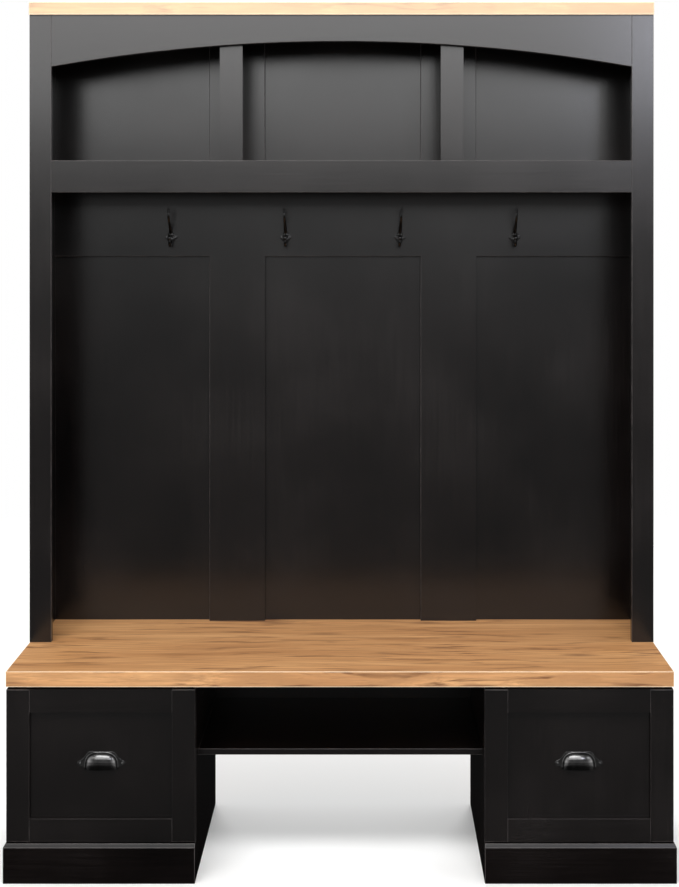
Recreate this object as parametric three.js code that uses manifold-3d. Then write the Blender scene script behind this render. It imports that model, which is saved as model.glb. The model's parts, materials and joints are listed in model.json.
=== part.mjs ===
// Hall tree: a storage bench with two drawers, and on it a hutch with a coat bay, four hooks and three cubbies.
// Millimetres, +Z up, +X to the right of someone facing it, +Y towards the wall. The origin is on the floor,
// in the middle of the footprint. Faces that touch lie on multiples of 0.5 mm, which 32-bit numbers hold exactly.

import * as THREE from "three";
import { mergeVertices } from "three/addons/utils/BufferGeometryUtils.js";
import Module from "manifold-3d";

const wasm = await Module();
wasm.setup();

// ---- driving dimensions ----
const WIDTH = 1422; // bench top, cabinets and hutch
const DEPTH = 457;
const HEIGHT = 1909;
const BOARD_T = 18; // carcass boards, stiles and rails

const SEAT_Z = 451.5;
const SEAT_T = 33;
const CABINET_W = 402.5;
const CABINET_BACK_T = 5;
const PLINTH_H = 84;
const PLINTH_T = 6; // also the bench top's overhang, so the two are flush in front
const PLINTH_CHAMFER = [5, 8]; // inwards and down
const CENTRE_SHELF_Z = 248; // its underside
const CENTRE_SHELF_T = 13;
const CENTRE_SHELF_SETBACK = 72.5; // behind the drawer faces
const CENTRE_BACK_T = 12;

const FRONT_GAP_BELOW = 2;
const FRONT_GAP_ABOVE = 6.5;
const BUMPER_GAP = 1; // drawer front to the carcass edge behind it
const FRONT_STILE_W = 49;
const FRONT_RAIL_W = 49.5;
const PANEL_RECESS = 10;
const PANEL_T = 6;
const TONGUE = 6; // how far panel and tenons run into the grooves
const GROOVE_CLEARANCE = 0.5;

const BOX_T = 12;
const BOX_Z = 106;
const BOX_H = 250;
const BOX_L = 395.5;
const BOX_BOTTOM_T = 5;
const BOX_BOTTOM_RISE = 8; // its underside above the box's lower edge
const BOX_GROOVE = 5;

const SLIDE_SPACE = 13; // between the cabinet side and the drawer box
const SLIDE_L = 390;
const SLIDE_Z = 140; // centre line
const SLIDE_SETBACK = 2; // behind the carcass edge
const STEEL_T = 1.5;
const CHANNEL_H = 38;
const CHANNEL_REACH = 10;
const RUNNER_H = 26;
const RUNNER_REACH = 9;

const HUTCH_D = 224;
const TOP_T = 28.5;
const TOP_OVERHANG = 8;
const STILE_W = 50;
const ARCH_END_H = 118;
const ARCH_CROWN_H = 60;
const ARCH_STEPS = 48;
const SHELF_Z = 1549; // upper face of the cubby shelf
const SHELF_RAIL_H = 73;
const MULLION_W = 52;
const MULLION_X = 253;

const BACK_RECESS = 13; // back panel in from the rear edges
const BACK_PANEL_T = 6;
const BACK_FRAME_T = 12;
const BACK_STILE_X = [187, 320.5];
const HOOK_RAIL_Z = 1327.5; // its lower edge
const BACK_TOP_RAIL_H = 35;
const CLEAT_H = 80;

const HOOK_X = [-412.5, -137, 137, 412.5];
const HOOK_Z = 1374; // middle of the hook's plate
const PULL_Z = 239.5; // plane of the cup pull's lip

// ---- worked out from them ----
const FRONT_Y = -DEPTH / 2;
const REAR_Y = DEPTH / 2;
const FACE_Y = FRONT_Y + PLINTH_T; // drawer faces
const FRAME_REAR_Y = FACE_Y + BOARD_T;
const CARCASS_Y = FRAME_REAR_Y + BUMPER_GAP;
const SEAT_UNDER_Z = SEAT_Z - SEAT_T;
const HUTCH_Y = REAR_Y - HUTCH_D; // front face of the hutch
const HUTCH_FRAME_REAR_Y = HUTCH_Y + BOARD_T;
const HUTCH_TOP_Z = HEIGHT - TOP_T;
const BACK_PANEL_Y = REAR_Y - BACK_RECESS - BACK_PANEL_T;
const BACK_FRAME_Y = BACK_PANEL_Y - BACK_FRAME_T;
const HALF = WIDTH / 2;
const INSIDE = HALF - BOARD_T; // between the hutch's side boards
const INNER_X = HALF - CABINET_W; // edge of the open middle
const CABINET_MID_X = HALF - CABINET_W / 2;
const SIDES = [
  ["left", -1],
  ["right", 1],
];

// ---- materials ----
const finish = (color, roughness, metalness = 0) =>
  new THREE.MeshStandardMaterial({ color, roughness, metalness });
const black = finish(0x1c1b1c, 0.45);
const oak = finish(0xc79a63, 0.5);
const boxBoard = finish(0x2a2827, 0.6);
const hardboard = finish(0x4a3a2e, 0.75);
const castIron = finish(0x141414, 0.35, 0.8);
const pewter = finish(0x2b2b2d, 0.3, 0.9);
const steel = finish(0x9a9c9f, 0.35, 1);

const tree = new THREE.Group();

// ---- making solids ----
function place(name, geometry, material) {
  const mesh = new THREE.Mesh(geometry, material);
  mesh.name = name;
  tree.add(mesh);
  return mesh;
}

function boxGeometry(ranges) {
  const size = ranges.map(([a, b]) => Math.abs(b - a));
  const middle = ranges.map(([a, b]) => (a + b) / 2);
  return new THREE.BoxGeometry(...size).translate(...middle);
}

// A rectangular board between two corners, given as two values on each axis in either order.
function board(name, material, ...ranges) {
  return place(name, boxGeometry(ranges), material);
}

function block(...ranges) {
  return solidOf(boxGeometry(ranges));
}

function wider([a, b], by) {
  return [a - by, b + by];
}

function mirrored([a, b], sign) {
  return [Math.min(sign * a, sign * b), Math.max(sign * a, sign * b)];
}

function shapeOf(points) {
  return new THREE.Shape(points.map(([a, b]) => new THREE.Vector2(a, b)));
}

function extrude(outline, depth) {
  const shape = Array.isArray(outline) ? shapeOf(outline) : outline;
  return new THREE.ExtrudeGeometry(shape, {
    depth,
    bevelEnabled: false,
    curveSegments: 10,
  });
}

// An outline in (y, z), run along X between two values.
function alongX(outline, x0, x1) {
  const low = Math.min(x0, x1);
  const turn = new THREE.Matrix4().makeBasis(
    new THREE.Vector3(0, 1, 0),
    new THREE.Vector3(0, 0, 1),
    new THREE.Vector3(1, 0, 0),
  );
  const geometry = extrude(outline, Math.abs(x1 - x0));
  return geometry.applyMatrix4(turn).translate(low, 0, 0);
}

// An outline in (x, z), run along Y from y0 to y1.
function alongY(outline, y0, y1) {
  const turn = new THREE.Matrix4().makeBasis(
    new THREE.Vector3(1, 0, 0),
    new THREE.Vector3(0, 0, 1),
    new THREE.Vector3(0, -1, 0),
  );
  return extrude(outline, y1 - y0).applyMatrix4(turn).translate(0, y1, 0);
}

function solidOf(geometry) {
  const bare = geometry.clone();
  bare.deleteAttribute("normal");
  bare.deleteAttribute("uv");
  const merged = mergeVertices(bare, 1e-4);
  const vertProperties = merged.attributes.position.array;
  const triVerts = new Uint32Array(merged.index.array);
  return new wasm.Manifold(
    new wasm.Mesh({ numProp: 3, vertProperties, triVerts }),
  );
}

function geometryOf(solid) {
  const mesh = solid.getMesh();
  const geometry = new THREE.BufferGeometry();
  const positions = new THREE.BufferAttribute(mesh.vertProperties, 3);
  geometry.setAttribute("position", positions);
  geometry.setIndex(new THREE.BufferAttribute(mesh.triVerts, 1));
  geometry.computeVertexNormals();
  return geometry;
}

// ---- bench ----
// A plinth moulding with a chamfered top, folded round the cabinet's outer front corner.
function plinthMouldingGeometry(sign) {
  const outer = HALF + PLINTH_T;
  const [inwards, down] = PLINTH_CHAMFER;
  const front = block(
    mirrored([INNER_X, outer], sign),
    [FRONT_Y, FACE_Y],
    [0, PLINTH_H],
  );
  const sideReturn = block(
    mirrored([HALF, outer], sign),
    [FRONT_Y, REAR_Y],
    [0, PLINTH_H],
  );
  const frontWedge = [
    [FRONT_Y - inwards, PLINTH_H - 2 * down],
    [FRONT_Y + inwards, PLINTH_H],
    [FRONT_Y - inwards, PLINTH_H],
  ];
  const sideWedge = [
    [sign * (outer + inwards), PLINTH_H - 2 * down],
    [sign * (outer - inwards), PLINTH_H],
    [sign * (outer + inwards), PLINTH_H],
  ];
  const moulding = front
    .add(sideReturn)
    .subtract(solidOf(alongX(frontWedge, -HALF - 50, HALF + 50)))
    .subtract(solidOf(alongY(sideWedge, FRONT_Y - 50, REAR_Y + 50)));
  return geometryOf(moulding);
}

function makeCabinet(side, sign) {
  const outer = [sign * HALF, sign * INSIDE];
  const inner = [sign * (INNER_X + BOARD_T), sign * INNER_X];
  const sideOutline = [
    [FACE_Y, 0],
    [REAR_Y, 0],
    [REAR_Y, SEAT_UNDER_Z],
    [CARCASS_Y, SEAT_UNDER_Z],
    [CARCASS_Y, PLINTH_H],
    [FACE_Y, PLINTH_H],
  ];
  place(`${side}_cabinet_outer_side`, alongX(sideOutline, ...outer), black);
  place(`${side}_cabinet_inner_side`, alongX(sideOutline, ...inner), black);
  const between = [outer[1], inner[0]];
  const backY = REAR_Y - CABINET_BACK_T;
  const bottomZ = [PLINTH_H - BOARD_T, PLINTH_H];
  board(`${side}_cabinet_bottom`, black, between, [FACE_Y, backY], bottomZ);
  board(
    `${side}_cabinet_back`,
    hardboard,
    between,
    [backY, REAR_Y],
    [bottomZ[0], SEAT_UNDER_Z],
  );
  place(`${side}_plinth_moulding`, plinthMouldingGeometry(sign), black);
}

function makeBench() {
  board(
    "bench_top",
    oak,
    [-HALF, HALF],
    [FRONT_Y, REAR_Y],
    [SEAT_UNDER_Z, SEAT_Z],
  );
  board(
    "centre_shelf",
    black,
    [-INNER_X, INNER_X],
    [FACE_Y + CENTRE_SHELF_SETBACK, REAR_Y - CENTRE_BACK_T],
    [CENTRE_SHELF_Z, CENTRE_SHELF_Z + CENTRE_SHELF_T],
  );
  board(
    "centre_back",
    black,
    [-INNER_X, INNER_X],
    [REAR_Y - CENTRE_BACK_T, REAR_Y],
    [CENTRE_SHELF_Z, SEAT_UNDER_Z],
  );
  for (const [side, sign] of SIDES) makeCabinet(side, sign);
}

// ---- drawers ----
// Two full-height stiles, two rails tenoned into their grooves, and a thin panel that floats in the frame.
function makeDrawerFront(side, sign, middle) {
  const half = CABINET_W / 2;
  const openHalf = half - FRONT_STILE_W;
  const ys = [FACE_Y, FRAME_REAR_Y];
  const zs = [PLINTH_H + FRONT_GAP_BELOW, SEAT_UNDER_Z - FRONT_GAP_ABOVE];
  const openZ = [zs[0] + FRONT_RAIL_W, zs[1] - FRONT_RAIL_W];
  const panelY = [FACE_Y + PANEL_RECESS, FACE_Y + PANEL_RECESS + PANEL_T];
  const spread = (reach) => [middle - reach, middle + reach];
  const grooveY = wider(panelY, GROOVE_CLEARANCE);
  const grooveDepth = TONGUE + GROOVE_CLEARANCE;
  const grooveX = spread(openHalf + grooveDepth);
  const name = (piece) => `${side}_drawer_${piece}`;

  for (const [piece, hand] of [
    ["outer_stile", sign],
    ["inner_stile", -sign],
  ]) {
    const x = [middle + hand * openHalf, middle + hand * half];
    const stile = block(x, ys, zs).subtract(
      block(grooveX, grooveY, wider(zs, 1)),
    );
    place(name(piece), geometryOf(stile), black);
  }
  for (const [piece, z, tenonZ] of [
    ["top_rail", [openZ[1], zs[1]], [openZ[1] + grooveDepth, zs[1]]],
    ["bottom_rail", [zs[0], openZ[0]], [zs[0], openZ[0] - grooveDepth]],
  ]) {
    const groove = block(grooveX, grooveY, wider(openZ, grooveDepth));
    const tenons = block(spread(openHalf + TONGUE), panelY, tenonZ);
    const rail = block(spread(openHalf), ys, z).subtract(groove).add(tenons);
    place(name(piece), geometryOf(rail), black);
  }
  const panelX = spread(openHalf + TONGUE);
  board(name("front_panel"), black, panelX, panelY, wider(openZ, TONGUE));
}

function makeDrawerBox(side, sign, middle) {
  const half = CABINET_W / 2 - BOARD_T - SLIDE_SPACE;
  const insideHalf = half - BOX_T;
  const ys = [FRAME_REAR_Y, FRAME_REAR_Y + BOX_L];
  const zs = [BOX_Z, BOX_Z + BOX_H];
  const bottomZ = [
    BOX_Z + BOX_BOTTOM_RISE,
    BOX_Z + BOX_BOTTOM_RISE + BOX_BOTTOM_T,
  ];
  const [grooveLow, grooveHigh] = wider(bottomZ, GROOVE_CLEARANCE);
  // A side's section, with the groove that holds the bottom, as distances from the drawer's middle.
  const section = [
    [insideHalf, zs[0]],
    [half, zs[0]],
    [half, zs[1]],
    [insideHalf, zs[1]],
    [insideHalf, grooveHigh],
    [insideHalf + BOX_GROOVE, grooveHigh],
    [insideHalf + BOX_GROOVE, grooveLow],
    [insideHalf, grooveLow],
  ];
  for (const [which, hand] of [
    ["outer", sign],
    ["inner", -sign],
  ]) {
    const outline = section.map(([x, z]) => [middle + hand * x, z]);
    place(`${side}_drawer_${which}_side`, alongY(outline, ...ys), boxBoard);
  }
  const spread = (reach) => [middle - reach, middle + reach];
  const backY = [ys[1] - BOX_T, ys[1]];
  board(`${side}_drawer_back`, boxBoard, spread(insideHalf), backY, zs);
  board(
    `${side}_drawer_bottom`,
    hardboard,
    spread(insideHalf + BOX_GROOVE - GROOVE_CLEARANCE),
    [ys[0], backY[0]],
    bottomZ,
  );
}

// The section of a bent steel channel: its web at 0, and its flanges running to the given reach.
function channelSection(height, reach) {
  const [low, high] = [SLIDE_Z - height / 2, SLIDE_Z + height / 2];
  return [
    [0, low],
    [reach, low],
    [reach, low + STEEL_T],
    [STEEL_T, low + STEEL_T],
    [STEEL_T, high - STEEL_T],
    [reach, high - STEEL_T],
    [reach, high],
    [0, high],
  ];
}

// Each slide is a channel on the cabinet's side, and a smaller runner on the drawer that travels inside it.
function makeSlides(side, sign, middle) {
  const cabinetFace = CABINET_W / 2 - BOARD_T;
  const boxFace = cabinetFace - SLIDE_SPACE;
  const ys = [CARCASS_Y + SLIDE_SETBACK, CARCASS_Y + SLIDE_SETBACK + SLIDE_L];
  for (const [which, hand] of [
    ["outer", sign],
    ["inner", -sign],
  ]) {
    const channel = channelSection(CHANNEL_H, CHANNEL_REACH).map(([x, z]) => [
      middle + hand * (cabinetFace - x),
      z,
    ]);
    const runner = channelSection(RUNNER_H, RUNNER_REACH).map(([x, z]) => [
      middle + hand * (boxFace + x),
      z,
    ]);
    place(`${side}_${which}_slide_channel`, alongY(channel, ...ys), steel);
    place(`${side}_${which}_slide_runner`, alongY(runner, ...ys), steel);
  }
}

// A cup pull: a rounded hood, open below and behind, on a flange that tapers to an ear for a screw each side.
const CUP = { halfW: 34, rise: 34.5, reach: 16, wall: 2 };
const CUP_SQUARENESS = { front: 3.2, side: 2.2, plan: 2.3 };
const FLANGE = { t: 2, top: 37, shoulderX: 24, earX: 51, earZ: 13 };

// How wide a rounded outline is at a height, both from 0 to 1. It squares up as the exponent rises past 2.
function roundedWidth(height, exponent) {
  return Math.max(0, 1 - height ** exponent) ** (1 / exponent);
}

// A ball with its rings squared up, so that the hood is boxy from the front and rounder from the side and above.
function roundedHood(halfW, reach, rise) {
  const { front, side, plan } = CUP_SQUARENESS;
  const geometry = new THREE.SphereGeometry(1, 40, 24).rotateX(Math.PI / 2);
  const positions = geometry.attributes.position;
  for (let i = 0; i < positions.count; i++) {
    const [x, y, z] = [positions.getX(i), positions.getY(i), positions.getZ(i)];
    const around = Math.hypot(x, y) || 1;
    const height = Math.min(1, Math.abs(z)) ** (2 / front);
    const across = Math.abs(x / around) ** (2 / plan);
    const out = Math.abs(y / around) ** (2 / plan);
    positions.setXYZ(
      i,
      Math.sign(x) * across * roundedWidth(height, front),
      Math.sign(y) * out * roundedWidth(height, side),
      Math.sign(z) * height,
    );
  }
  return solidOf(geometry.scale(halfW, reach, rise));
}

function pullFlange() {
  const { top, shoulderX, earX, earZ } = FLANGE;
  const shape = new THREE.Shape();
  shape.moveTo(0, 0);
  shape.lineTo(CUP.halfW, 0);
  shape.bezierCurveTo(CUP.halfW + 1, 5, earX - 10, 5, earX - 6, 6);
  shape.bezierCurveTo(earX + 1, 8, earX + 2, earZ + 2, earX - 3, earZ + 4);
  shape.bezierCurveTo(earX - 12, earZ + 8, 37, 23, 33, 28);
  shape.bezierCurveTo(30, 32, shoulderX + 5, top, shoulderX, top);
  shape.lineTo(0, top);
  return solidOf(alongY(shape, -FLANGE.t, 0));
}

function cupPullGeometry() {
  const { halfW, reach, rise, wall } = CUP;
  const far = 4 * halfW;
  const upperFront = block([-far, far], [-far, 0], [0, far]);
  const hollow = roundedHood(halfW - wall, reach - wall, rise - wall);
  const half = pullFlange();
  const hood = roundedHood(halfW, reach, rise).intersect(upperFront);
  const solid = hood.add(half).add(half.mirror([1, 0, 0])).subtract(hollow);
  return geometryOf(solid);
}

function makeDrawer(side, sign) {
  const middle = sign * CABINET_MID_X;
  makeDrawerFront(side, sign, middle);
  makeDrawerBox(side, sign, middle);
  makeSlides(side, sign, middle);
  const pull = place(`${side}_cup_pull`, cupPullGeometry(), pewter);
  pull.position.set(middle, FACE_Y + PANEL_RECESS, PULL_Z);
}

// ---- hutch ----
// The rail's lower edge is an arc of one circle from stile to stile.
function archRailGeometry() {
  const half = HALF - STILE_W;
  const rise = ARCH_END_H - ARCH_CROWN_H;
  const radius = (half ** 2 + rise ** 2) / (2 * rise);
  const centreZ = HUTCH_TOP_Z - ARCH_CROWN_H - radius;
  const outline = [];
  for (let i = 0; i <= ARCH_STEPS; i++) {
    const x = -half + (2 * half * i) / ARCH_STEPS;
    outline.push([x, centreZ + Math.sqrt(radius ** 2 - x ** 2)]);
  }
  outline.push([half, HUTCH_TOP_Z], [-half, HUTCH_TOP_Z]);
  return alongY(outline, HUTCH_Y, HUTCH_FRAME_REAR_Y);
}

function makeHutchFrame() {
  const openHalf = HALF - STILE_W;
  const frameY = [HUTCH_Y, HUTCH_FRAME_REAR_Y];
  const sideY = [HUTCH_FRAME_REAR_Y, REAR_Y];
  const standing = [SEAT_Z, HUTCH_TOP_Z];
  for (const [side, sign] of SIDES) {
    const stileX = [sign * HALF, sign * openHalf];
    const sideX = [sign * HALF, sign * INSIDE];
    board(`${side}_hutch_stile`, black, stileX, frameY, standing);
    board(`${side}_hutch_side`, black, sideX, sideY, standing);
  }
  place("arch_rail", archRailGeometry(), black);
  const railZ = [SHELF_Z - SHELF_RAIL_H, SHELF_Z];
  board("shelf_rail", black, [-openHalf, openHalf], frameY, railZ);
  const topY = [HUTCH_Y - TOP_OVERHANG, REAR_Y];
  board("hutch_top_board", oak, [-HALF, HALF], topY, [HUTCH_TOP_Z, HEIGHT]);
}

function makeCubbies() {
  const boardY = [HUTCH_FRAME_REAR_Y, BACK_FRAME_Y];
  const boardZ = [SHELF_Z - BOARD_T, SHELF_Z];
  board("shelf_board", black, [-INSIDE, INSIDE], boardY, boardZ);
  const mullionY = [HUTCH_FRAME_REAR_Y, HUTCH_FRAME_REAR_Y + BOARD_T];
  const dividerY = [mullionY[1], BACK_FRAME_Y];
  const zs = [SHELF_Z, HUTCH_TOP_Z];
  for (const [side, sign] of SIDES) {
    const middle = [sign * MULLION_X, sign * MULLION_X];
    const mullionX = wider(middle, MULLION_W / 2);
    board(`${side}_mullion`, black, mullionX, mullionY, zs);
    board(`${side}_divider`, black, wider(middle, BOARD_T / 2), dividerY, zs);
  }
}

// One board, cut to a hook rail, a top rail and two stiles between them, which part the back into three panels.
function backFrameGeometry() {
  const across = [-INSIDE, INSIDE];
  const ys = [BACK_FRAME_Y, BACK_PANEL_Y];
  const topRailZ = [HUTCH_TOP_Z - BACK_TOP_RAIL_H, HUTCH_TOP_Z];
  let frame = block(across, ys, [HOOK_RAIL_Z, SHELF_Z]);
  frame = frame.add(block(across, ys, topRailZ));
  for (const [, sign] of SIDES) {
    const stileX = mirrored(BACK_STILE_X, sign);
    frame = frame.add(block(stileX, ys, [SEAT_Z, HUTCH_TOP_Z]));
  }
  return geometryOf(frame);
}

function makeHutchBack() {
  const across = [-INSIDE, INSIDE];
  place("hutch_back_frame", backFrameGeometry(), black);
  board(
    "hutch_back_panel",
    black,
    across,
    [BACK_PANEL_Y, BACK_PANEL_Y + BACK_PANEL_T],
    [SEAT_Z, HUTCH_TOP_Z],
  );
  board(
    "hanging_cleat",
    black,
    across,
    [REAR_Y - BACK_RECESS, REAR_Y],
    [HUTCH_TOP_Z - CLEAT_H, HUTCH_TOP_Z],
  );
}

// A cast double hook: a shaped plate, a long prong that rises and a short one that curls up, each with a ball end.
// It is drawn round the middle of the plate, on the wall plane y = 0, reaching towards -Y.
const HOOK_PLATE = { wingX: 12, top: 22, bottom: -23, t: 3.5 };
const UPPER_PRONG = [
  [0, 8],
  [-8, 14],
  [-18, 21],
  [-30, 30],
  [-42, 40],
  [-50, 51],
  [-49, 63],
];
const LOWER_PRONG = [
  [0, -6],
  [-8, -14],
  [-16, -19.5],
  [-25, -20],
  [-31.5, -13],
  [-33, -4],
];
const PRONG_R = 2.8;
const BALL_R = 3.8;

function prongSolids(points) {
  const path = new THREE.CatmullRomCurve3(
    points.map(([y, z]) => new THREE.Vector3(0, y, z)),
  );
  const section = new THREE.Shape();
  section.absarc(0, 0, PRONG_R, 0, 2 * Math.PI);
  const rod = new THREE.ExtrudeGeometry(section, {
    extrudePath: path,
    steps: 4 * (points.length - 1),
    curveSegments: 5,
  });
  const [endY, endZ] = points[points.length - 1];
  const ball = new THREE.SphereGeometry(BALL_R, 14, 10);
  return [solidOf(rod), solidOf(ball.translate(0, endY, endZ))];
}

function hookGeometry() {
  const { wingX, top, bottom, t } = HOOK_PLATE;
  const plate = new THREE.Shape();
  plate.moveTo(0, top);
  plate.bezierCurveTo(2.5, 14, 7, 7, wingX, 4);
  plate.bezierCurveTo(wingX + 3.5, 2.5, wingX + 3.5, -2.5, wingX, -4.5);
  plate.bezierCurveTo(7, -8, 3, -15, 0, bottom);
  plate.bezierCurveTo(-3, -15, -7, -8, -wingX, -4.5);
  plate.bezierCurveTo(-wingX - 3.5, -2.5, -wingX - 3.5, 2.5, -wingX, 4);
  plate.bezierCurveTo(-7, 7, -2.5, 14, 0, top);
  const inFront = block([-90, 90], [-90, 0], [-90, 90]);
  let hook = solidOf(alongY(plate, -t, 0));
  for (const part of [...prongSolids(UPPER_PRONG), ...prongSolids(LOWER_PRONG)])
    hook = hook.add(part.intersect(inFront));
  return geometryOf(hook);
}

function makeHooks() {
  HOOK_X.forEach((x, i) => {
    const hook = place(`coat_hook_${i + 1}`, hookGeometry(), castIron);
    hook.position.set(x, BACK_FRAME_Y, HOOK_Z);
  });
}

makeBench();
for (const [side, sign] of SIDES) makeDrawer(side, sign);
makeHutchFrame();
makeCubbies();
makeHutchBack();
makeHooks();

export default tree;
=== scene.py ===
"""Looks of the hall tree.

Satin black boards, an oak-look seat and top, iron coat hooks and gunmetal cup pulls.

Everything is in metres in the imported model's frame: +Z up, +Y towards the wall, the floor at z = 0.
"""

import json
import math

import bmesh
import bpy
from mathutils import Matrix, Vector


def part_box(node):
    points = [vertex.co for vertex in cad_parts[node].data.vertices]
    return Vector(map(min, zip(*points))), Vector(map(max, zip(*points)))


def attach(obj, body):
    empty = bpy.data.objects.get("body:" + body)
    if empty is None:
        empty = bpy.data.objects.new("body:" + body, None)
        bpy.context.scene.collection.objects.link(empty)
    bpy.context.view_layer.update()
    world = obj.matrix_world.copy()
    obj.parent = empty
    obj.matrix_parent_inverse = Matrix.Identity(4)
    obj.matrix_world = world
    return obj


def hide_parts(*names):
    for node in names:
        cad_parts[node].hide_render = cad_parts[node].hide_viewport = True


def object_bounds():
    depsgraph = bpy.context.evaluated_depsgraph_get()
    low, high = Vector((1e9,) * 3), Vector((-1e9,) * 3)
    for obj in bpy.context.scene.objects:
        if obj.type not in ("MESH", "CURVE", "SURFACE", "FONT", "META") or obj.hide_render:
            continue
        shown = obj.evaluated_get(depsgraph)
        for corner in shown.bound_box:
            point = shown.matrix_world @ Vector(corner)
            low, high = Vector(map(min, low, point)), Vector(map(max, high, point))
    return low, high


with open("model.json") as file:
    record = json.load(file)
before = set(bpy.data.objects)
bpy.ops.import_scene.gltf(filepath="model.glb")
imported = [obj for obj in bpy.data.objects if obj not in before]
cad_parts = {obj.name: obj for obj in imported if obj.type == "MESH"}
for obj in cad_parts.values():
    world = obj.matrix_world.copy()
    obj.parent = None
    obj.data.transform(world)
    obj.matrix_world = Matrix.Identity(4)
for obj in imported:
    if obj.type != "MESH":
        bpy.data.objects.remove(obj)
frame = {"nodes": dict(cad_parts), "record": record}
NODES = frame["nodes"]
CAD_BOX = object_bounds()
SIDES = ("left", "right")
MM = 0.001
WHITE = (1.0, 1.0, 1.0)
BOARD_BOXES = {
    entry["node"]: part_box(entry["node"])
    for entry in frame["record"]["subparts"]
    if entry["material_slot"] not in ("hook_iron", "pull_metal", "slide_steel")
}


# ---- node trees ----
class NodeTree:
    """Short calls for the nodes of one tree."""

    def __init__(self, tree):
        self.tree = tree

    def node(self, kind, inputs=(), **settings):
        made = self.tree.nodes.new(kind)
        for key, value in settings.items():
            setattr(made, key, value)
        for key, value in dict(inputs).items():
            self.feed(made.inputs[key], value)
        return made

    def feed(self, socket, value):
        if isinstance(value, bpy.types.NodeSocket):
            self.tree.links.new(value, socket)
        else:
            socket.default_value = value

    def math(self, operation, a, b=0.0, c=0.0):
        inputs = {0: a, 1: b, 2: c}
        made = self.node("ShaderNodeMath", inputs, operation=operation)
        return made.outputs["Value"]

    def remap(self, value, low, high, new_low=0.0, new_high=1.0, curve="LINEAR"):
        inputs = {
            "Value": value,
            "From Min": low,
            "From Max": high,
            "To Min": new_low,
            "To Max": new_high,
        }
        made = self.node("ShaderNodeMapRange", inputs, interpolation_type=curve)
        return made.outputs["Result"]

    def ramp(self, value, *stops):
        made = self.node("ShaderNodeValToRGB", {"Fac": value})
        elements = made.color_ramp.elements
        while len(elements) < len(stops):
            elements.new(0.5)
        for element, (position, colour) in zip(elements, stops):
            element.position = position
            element.color = rgba(colour)
        return made.outputs["Color"]

    def mix_shaders(self, factor, a, b):
        return self.node("ShaderNodeMixShader", {0: factor, 1: a, 2: b}).outputs["Shader"]


class Shader(NodeTree):
    """A new material, with short calls for what it is made of."""

    def __init__(self, name, roughness=0.5, metallic=0.0, specular=0.5):
        self.material = bpy.data.materials.new(name)
        self.material.use_nodes = True
        super().__init__(self.material.node_tree)
        self.surface = self.tree.nodes["Principled BSDF"]
        self.surface.inputs["Roughness"].default_value = roughness
        self.surface.inputs["Metallic"].default_value = metallic
        self.surface.inputs["Specular IOR Level"].default_value = specular
        self.place = self.node("ShaderNodeTexCoord").outputs["Object"]

    def stretched(self, scale, source=None):
        inputs = {"Vector": source or self.place, "Scale": scale}
        return self.node("ShaderNodeMapping", inputs).outputs["Vector"]

    def noise(self, source, scale, detail=3.0, roughness=0.5, distortion=0.0):
        inputs = {
            "Vector": source,
            "Scale": scale,
            "Detail": detail,
            "Roughness": roughness,
            "Distortion": distortion,
        }
        return self.node("ShaderNodeTexNoise", inputs).outputs["Fac"]

    def mix(self, factor, a, b):
        made = self.node("ShaderNodeMix", data_type="RGBA")
        self.feed(made.inputs["Factor"], factor)
        for index, value in ((6, a), (7, b)):
            self.feed(made.inputs[index], value)
        return made.outputs[2]

    def colour(self, value):
        self.feed(self.surface.inputs["Base Color"], value)

    def roughness(self, value):
        self.feed(self.surface.inputs["Roughness"], value)

    def bump(self, height, strength, distance):
        inputs = {"Height": height, "Strength": strength, "Distance": distance}
        previous = self.surface.inputs["Normal"]
        if previous.is_linked:
            inputs["Normal"] = previous.links[0].from_socket
        self.feed(previous, self.node("ShaderNodeBump", inputs).outputs["Normal"])


def rgba(colour):
    return (*colour, 1.0)


# ---- materials ----
FIBRE_ALONG, FIBRE_ACROSS = 6.0, 300.0  # noise scales of a black board's grain
STEEL_ALONG, STEEL_ACROSS = 14.0, 700.0  # and of the drawing lines on steel


def black_board(name, grain_axis, specular=0.5):
    """Satin black on board: a fine fibre grain along one axis, under a slightly uneven coat."""
    shader = Shader(name, specular=specular)
    scale = [FIBRE_ACROSS] * 3
    scale[grain_axis] = FIBRE_ALONG
    fibre = shader.noise(shader.stretched(scale), 1.0, 4.0, 0.6)
    cloud = shader.noise(shader.place, 3.5, 4.0)
    peel = shader.noise(shader.place, 520.0, 2.0)
    tone = shader.math("MULTIPLY_ADD", fibre, 0.5, cloud)
    shader.colour(
        shader.ramp(
            tone,
            (0.5, (0.0009, 0.0004, 0.0004)),
            (0.75, (0.0030, 0.0018, 0.0016)),
            (1.0, (0.0072, 0.0053, 0.0050)),
        )
    )
    uneven = shader.math("MULTIPLY_ADD", fibre, 0.35, cloud)
    shader.roughness(shader.remap(uneven, 0.4, 0.95, 0.21, 0.28))
    shader.bump(fibre, 0.13, 0.0004)
    shader.bump(peel, 0.08, 0.0004)
    return shader.material


def painted_edge_highlight():
    """A pale colour for the rounded edge of a black board, mottled at random: a painted highlight
    along the arris.
    """
    shader = Shader("black_edge_painted_highlight", specular=0.4)
    edge_mottle = shader.noise(shader.place, 60.0, 4.0)
    shader.colour(
        shader.ramp(edge_mottle, (0.35, (0.018, 0.0155, 0.015)), (0.7, (0.052, 0.044, 0.043)))
    )
    shader.roughness(shader.remap(edge_mottle, 0.3, 0.7, 0.32, 0.46))
    return shader.material


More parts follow.
